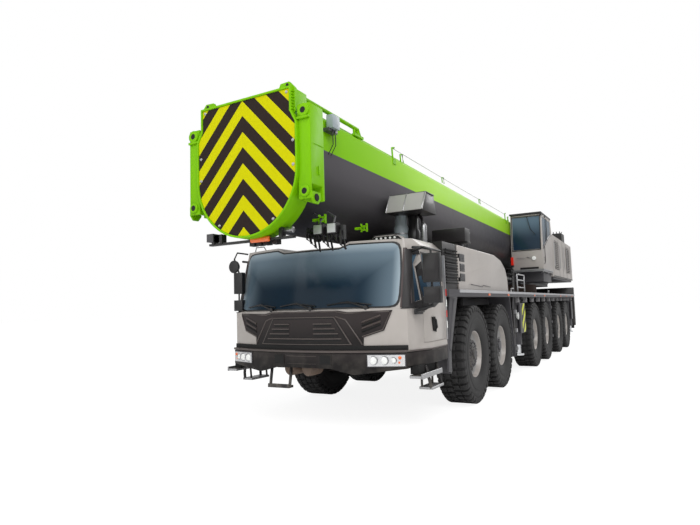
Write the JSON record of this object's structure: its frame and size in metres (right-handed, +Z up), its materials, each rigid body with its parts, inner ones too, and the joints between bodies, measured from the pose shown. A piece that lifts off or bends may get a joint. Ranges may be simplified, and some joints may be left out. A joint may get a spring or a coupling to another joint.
{
  "type": "six-axle mobile crane",
  "caption": "Six-axle all-terrain mobile crane with a stowed box boom, crane cab, steering axles and sliding outriggers.",
  "frame": {"origin": "on the ground, under the middle of the crane's overall length and width", "axes": "+X forward, +Y to the vehicle's left, +Z up"},
  "size_m": [16.51, 3.2916, 3.92],
  "materials": {
    "grey_paint": "satin",
    "green_paint": "satin",
    "blue_grey_paint": "satin",
    "dark_paint": "satin",
    "frame_paint": "satin",
    "board_paint": "satin",
    "steel": "satin",
    "chrome": "polished",
    "tyre": "matt",
    "glass": "clear",
    "black_plastic": "matt",
    "seat": "woven",
    "iron": "rough"
  },
  "bodies": {
    "carrier": {"chassis_frame": "frame_paint", "axle_beams": "frame_paint", "outrigger_boxes": "frame_paint", "deck_and_guards": "frame_paint", "cab_shell": "grey_paint", "cab_windscreen": "glass", "bumper": "dark_paint", "mirrors": "black_plastic", "steps_and_ladder": "dark_paint", "cab_seats_and_fascia": "seat", "engine_hoods": "grey_paint", "radiator_boxes": "dark_paint", "engine_block": "iron", "intake_and_silencer": "grey_paint", "rear_box": "frame_paint", "slew_ring": "frame_paint"},
    "superstructure": {"turret_frame": "frame_paint", "machinery_housing": "grey_paint", "hoist_winch": "steel", "crane_cab_shell": "grey_paint", "crane_cab_panes": "glass", "crane_cab_seat": "seat"},
    "boom": {"boom_shell": "green_paint", "boom_head": "green_paint", "boom_head_board": "board_paint"},
    "ram_barrel": {"luff_ram_barrel": "blue_grey_paint"},
    "ram_rod": {"luff_ram_rod": "chrome"},
    "cab_door_left": {"cab_door_left": "grey_paint", "cab_door_glass_left": "glass"},
    "cab_door_right": {"cab_door_right": "grey_paint", "cab_door_glass_right": "glass"},
    "wheel_1_left": {"wheel_1_left": "tyre"},
    "knuckle_1_left": {"knuckle_1_left": "frame_paint"},
    "wheel_1_right": {"wheel_1_right": "tyre"},
    "knuckle_1_right": {"knuckle_1_right": "frame_paint"},
    "wheel_2_left": {"wheel_2_left": "tyre"},
    "knuckle_2_left": {"knuckle_2_left": "frame_paint"},
    "wheel_2_right": {"wheel_2_right": "tyre"},
    "knuckle_2_right": {"knuckle_2_right": "frame_paint"},
    "wheel_3_left": {"wheel_3_left": "tyre"},
    "wheel_3_right": {"wheel_3_right": "tyre"},
    "wheel_4_left": {"wheel_4_left": "tyre"},
    "wheel_4_right": {"wheel_4_right": "tyre"},
    "wheel_5_left": {"wheel_5_left": "tyre"},
    "knuckle_5_left": {"knuckle_5_left": "frame_paint"},
    "wheel_5_right": {"wheel_5_right": "tyre"},
    "knuckle_5_right": {"knuckle_5_right": "frame_paint"},
    "wheel_6_left": {"wheel_6_left": "tyre"},
    "knuckle_6_left": {"knuckle_6_left": "frame_paint"},
    "wheel_6_right": {"wheel_6_right": "tyre"},
    "knuckle_6_right": {"knuckle_6_right": "frame_paint"},
    "outrigger_beam_front_left": {"outrigger_beam_front_left": "grey_paint"},
    "jack_leg_front_left": {"jack_leg_front_left": "chrome"},
    "outrigger_beam_front_right": {"outrigger_beam_front_right": "grey_paint"},
    "jack_leg_front_right": {"jack_leg_front_right": "chrome"},
    "outrigger_beam_rear_left": {"outrigger_beam_rear_left": "grey_paint"},
    "jack_leg_rear_left": {"jack_leg_rear_left": "chrome"},
    "outrigger_beam_rear_right": {"outrigger_beam_rear_right": "grey_paint"},
    "jack_leg_rear_right": {"jack_leg_rear_right": "chrome"}
  },
  "joints": [
    {"name": "cab_door_left_hinge", "type": "hinge", "parent": "carrier", "child": "cab_door_left", "pos_m": [6.648, 1.468, 1.575], "axis": [0, 0, -1], "range_deg": [0, 70]},
    {"name": "cab_door_right_hinge", "type": "hinge", "parent": "carrier", "child": "cab_door_right", "pos_m": [6.648, -1.468, 1.575], "axis": [0, 0, 1], "range_deg": [0, 70]},
    {"name": "steer_1_left", "type": "hinge", "parent": "carrier", "child": "knuckle_1_left", "pos_m": [4.65, 1.1, 0.74], "axis": [0, 0, 1], "range_deg": [-30, 30]},
    {"name": "roll_1_left", "type": "hinge", "parent": "knuckle_1_left", "child": "wheel_1_left", "pos_m": [4.65, 1.2725, 0.74], "axis": [0, 1, 0], "continuous": true},
    {"name": "steer_1_right", "type": "hinge", "parent": "carrier", "child": "knuckle_1_right", "pos_m": [4.65, -1.1, 0.74], "axis": [0, 0, 1], "range_deg": [-27.01, 27.01]},
    {"name": "roll_1_right", "type": "hinge", "parent": "knuckle_1_right", "child": "wheel_1_right", "pos_m": [4.65, -1.2725, 0.74], "axis": [0, 1, 0], "continuous": true},
    {"name": "steer_2_left", "type": "hinge", "parent": "carrier", "child": "knuckle_2_left", "pos_m": [3, 1.1, 0.74], "axis": [0, 0, 1], "range_deg": [-24.01, 24.01]},
    {"name": "roll_2_left", "type": "hinge", "parent": "knuckle_2_left", "child": "wheel_2_left", "pos_m": [3, 1.2725, 0.74], "axis": [0, 1, 0], "continuous": true},
    {"name": "steer_2_right", "type": "hinge", "parent": "carrier", "child": "knuckle_2_right", "pos_m": [3, -1.1, 0.74], "axis": [0, 0, 1], "range_deg": [-22.21, 22.21]},
    {"name": "roll_2_right", "type": "hinge", "parent": "knuckle_2_right", "child": "wheel_2_right", "pos_m": [3, -1.2725, 0.74], "axis": [0, 1, 0], "continuous": true},
    {"name": "roll_3_left", "type": "hinge", "parent": "carrier", "child": "wheel_3_left", "pos_m": [-0.3, 1.2725, 0.74], "axis": [0, 1, 0], "continuous": true},
    {"name": "roll_3_right", "type": "hinge", "parent": "carrier", "child": "wheel_3_right", "pos_m": [-0.3, -1.2725, 0.74], "axis": [0, 1, 0], "continuous": true},
    {"name": "roll_4_left", "type": "hinge", "parent": "carrier", "child": "wheel_4_left", "pos_m": [-1.95, 1.2725, 0.74], "axis": [0, 1, 0], "continuous": true},
    {"name": "roll_4_right", "type": "hinge", "parent": "carrier", "child": "wheel_4_right", "pos_m": [-1.95, -1.2725, 0.74], "axis": [0, 1, 0], "continuous": true},
    {"name": "steer_5_left", "type": "hinge", "parent": "carrier", "child": "knuckle_5_left", "pos_m": [-4.05, 1.1, 0.74], "axis": [0, 0, 1], "range_deg": [-7.51, 7.51]},
    {"name": "roll_5_left", "type": "hinge", "parent": "knuckle_5_left", "child": "wheel_5_left", "pos_m": [-4.05, 1.2725, 0.74], "axis": [0, 1, 0], "continuous": true},
    {"name": "steer_5_right", "type": "hinge", "parent": "carrier", "child": "knuckle_5_right", "pos_m": [-4.05, -1.1, 0.74], "axis": [0, 0, 1], "range_deg": [-7.21, 7.21]},
    {"name": "roll_5_right", "type": "hinge", "parent": "knuckle_5_right", "child": "wheel_5_right", "pos_m": [-4.05, -1.2725, 0.74], "axis": [0, 1, 0], "continuous": true},
    {"name": "steer_6_left", "type": "hinge", "parent": "carrier", "child": "knuckle_6_left", "pos_m": [-5.75, 1.1, 0.74], "axis": [0, 0, 1], "range_deg": [-15.01, 15.01]},
    {"name": "roll_6_left", "type": "hinge", "parent": "knuckle_6_left", "child": "wheel_6_left", "pos_m": [-5.75, 1.2725, 0.74], "axis": [0, 1, 0], "continuous": true},
    {"name": "steer_6_right", "type": "hinge", "parent": "carrier", "child": "knuckle_6_right", "pos_m": [-5.75, -1.1, 0.74], "axis": [0, 0, 1], "range_deg": [-14.41, 14.41]},
    {"name": "roll_6_right", "type": "hinge", "parent": "knuckle_6_right", "child": "wheel_6_right", "pos_m": [-5.75, -1.2725, 0.74], "axis": [0, 1, 0], "continuous": true},
    {"name": "outrigger_front_left_slide", "type": "slide", "parent": "carrier", "child": "outrigger_beam_front_left", "axis": [0, 1, 0], "range_m": [0, 2]},
    {"name": "jack_front_left_slide", "type": "slide", "parent": "outrigger_beam_front_left", "child": "jack_leg_front_left", "axis": [0, 0, -1], "range_m": [0, 0.6]},
    {"name": "outrigger_front_right_slide", "type": "slide", "parent": "carrier", "child": "outrigger_beam_front_right", "axis": [0, -1, 0], "range_m": [0, 2]},
    {"name": "jack_front_right_slide", "type": "slide", "parent": "outrigger_beam_front_right", "child": "jack_leg_front_right", "axis": [0, 0, -1], "range_m": [0, 0.6]},
    {"name": "outrigger_rear_left_slide", "type": "slide", "parent": "carrier", "child": "outrigger_beam_rear_left", "axis": [0, 1, 0], "range_m": [0, 2]},
    {"name": "jack_rear_left_slide", "type": "slide", "parent": "outrigger_beam_rear_left", "child": "jack_leg_rear_left", "axis": [0, 0, -1], "range_m": [0, 0.6]},
    {"name": "outrigger_rear_right_slide", "type": "slide", "parent": "carrier", "child": "outrigger_beam_rear_right", "axis": [0, -1, 0], "range_m": [0, 2]},
    {"name": "jack_rear_right_slide", "type": "slide", "parent": "outrigger_beam_rear_right", "child": "jack_leg_rear_right", "axis": [0, 0, -1], "range_m": [0, 0.6]},
    {"name": "slew", "type": "hinge", "parent": "carrier", "child": "superstructure", "pos_m": [-3.55, 0, 2], "axis": [0, 0, 1], "range_deg": [-340, 0]},
    {"name": "luff", "type": "hinge", "parent": "superstructure", "child": "boom", "pos_m": [-6.65, 0, 3.3], "axis": [0, -1, 0], "range_deg": [0, 82]},
    {"name": "ram_tilt", "type": "hinge", "parent": "superstructure", "child": "ram_barrel", "pos_m": [-4.65, 0, 2.25], "axis": [0, -1, 0], "range_deg": [0, 90.2]},
    {"name": "ram_slide", "type": "slide", "parent": "ram_barrel", "child": "ram_rod", "axis": [1, 0, 0], "range_m": [0, 2.86]}
  ],
  "couplings": [
    {"joint": "steer_1_right", "follows": "steer_1_left", "ratio": 0.9},
    {"joint": "steer_2_left", "follows": "steer_1_left", "ratio": 0.8},
    {"joint": "steer_2_right", "follows": "steer_1_left", "ratio": 0.74},
    {"joint": "steer_5_left", "follows": "steer_1_left", "ratio": -0.25},
    {"joint": "steer_5_right", "follows": "steer_1_left", "ratio": -0.24},
    {"joint": "steer_6_left", "follows": "steer_1_left", "ratio": -0.5},
    {"joint": "steer_6_right", "follows": "steer_1_left", "ratio": -0.48},
    {"joint": "ram_tilt", "follows": "luff", "ratio": 1.0991},
    {"joint": "ram_slide", "follows": "luff", "m_per_rad": 1.9882}
  ]
}
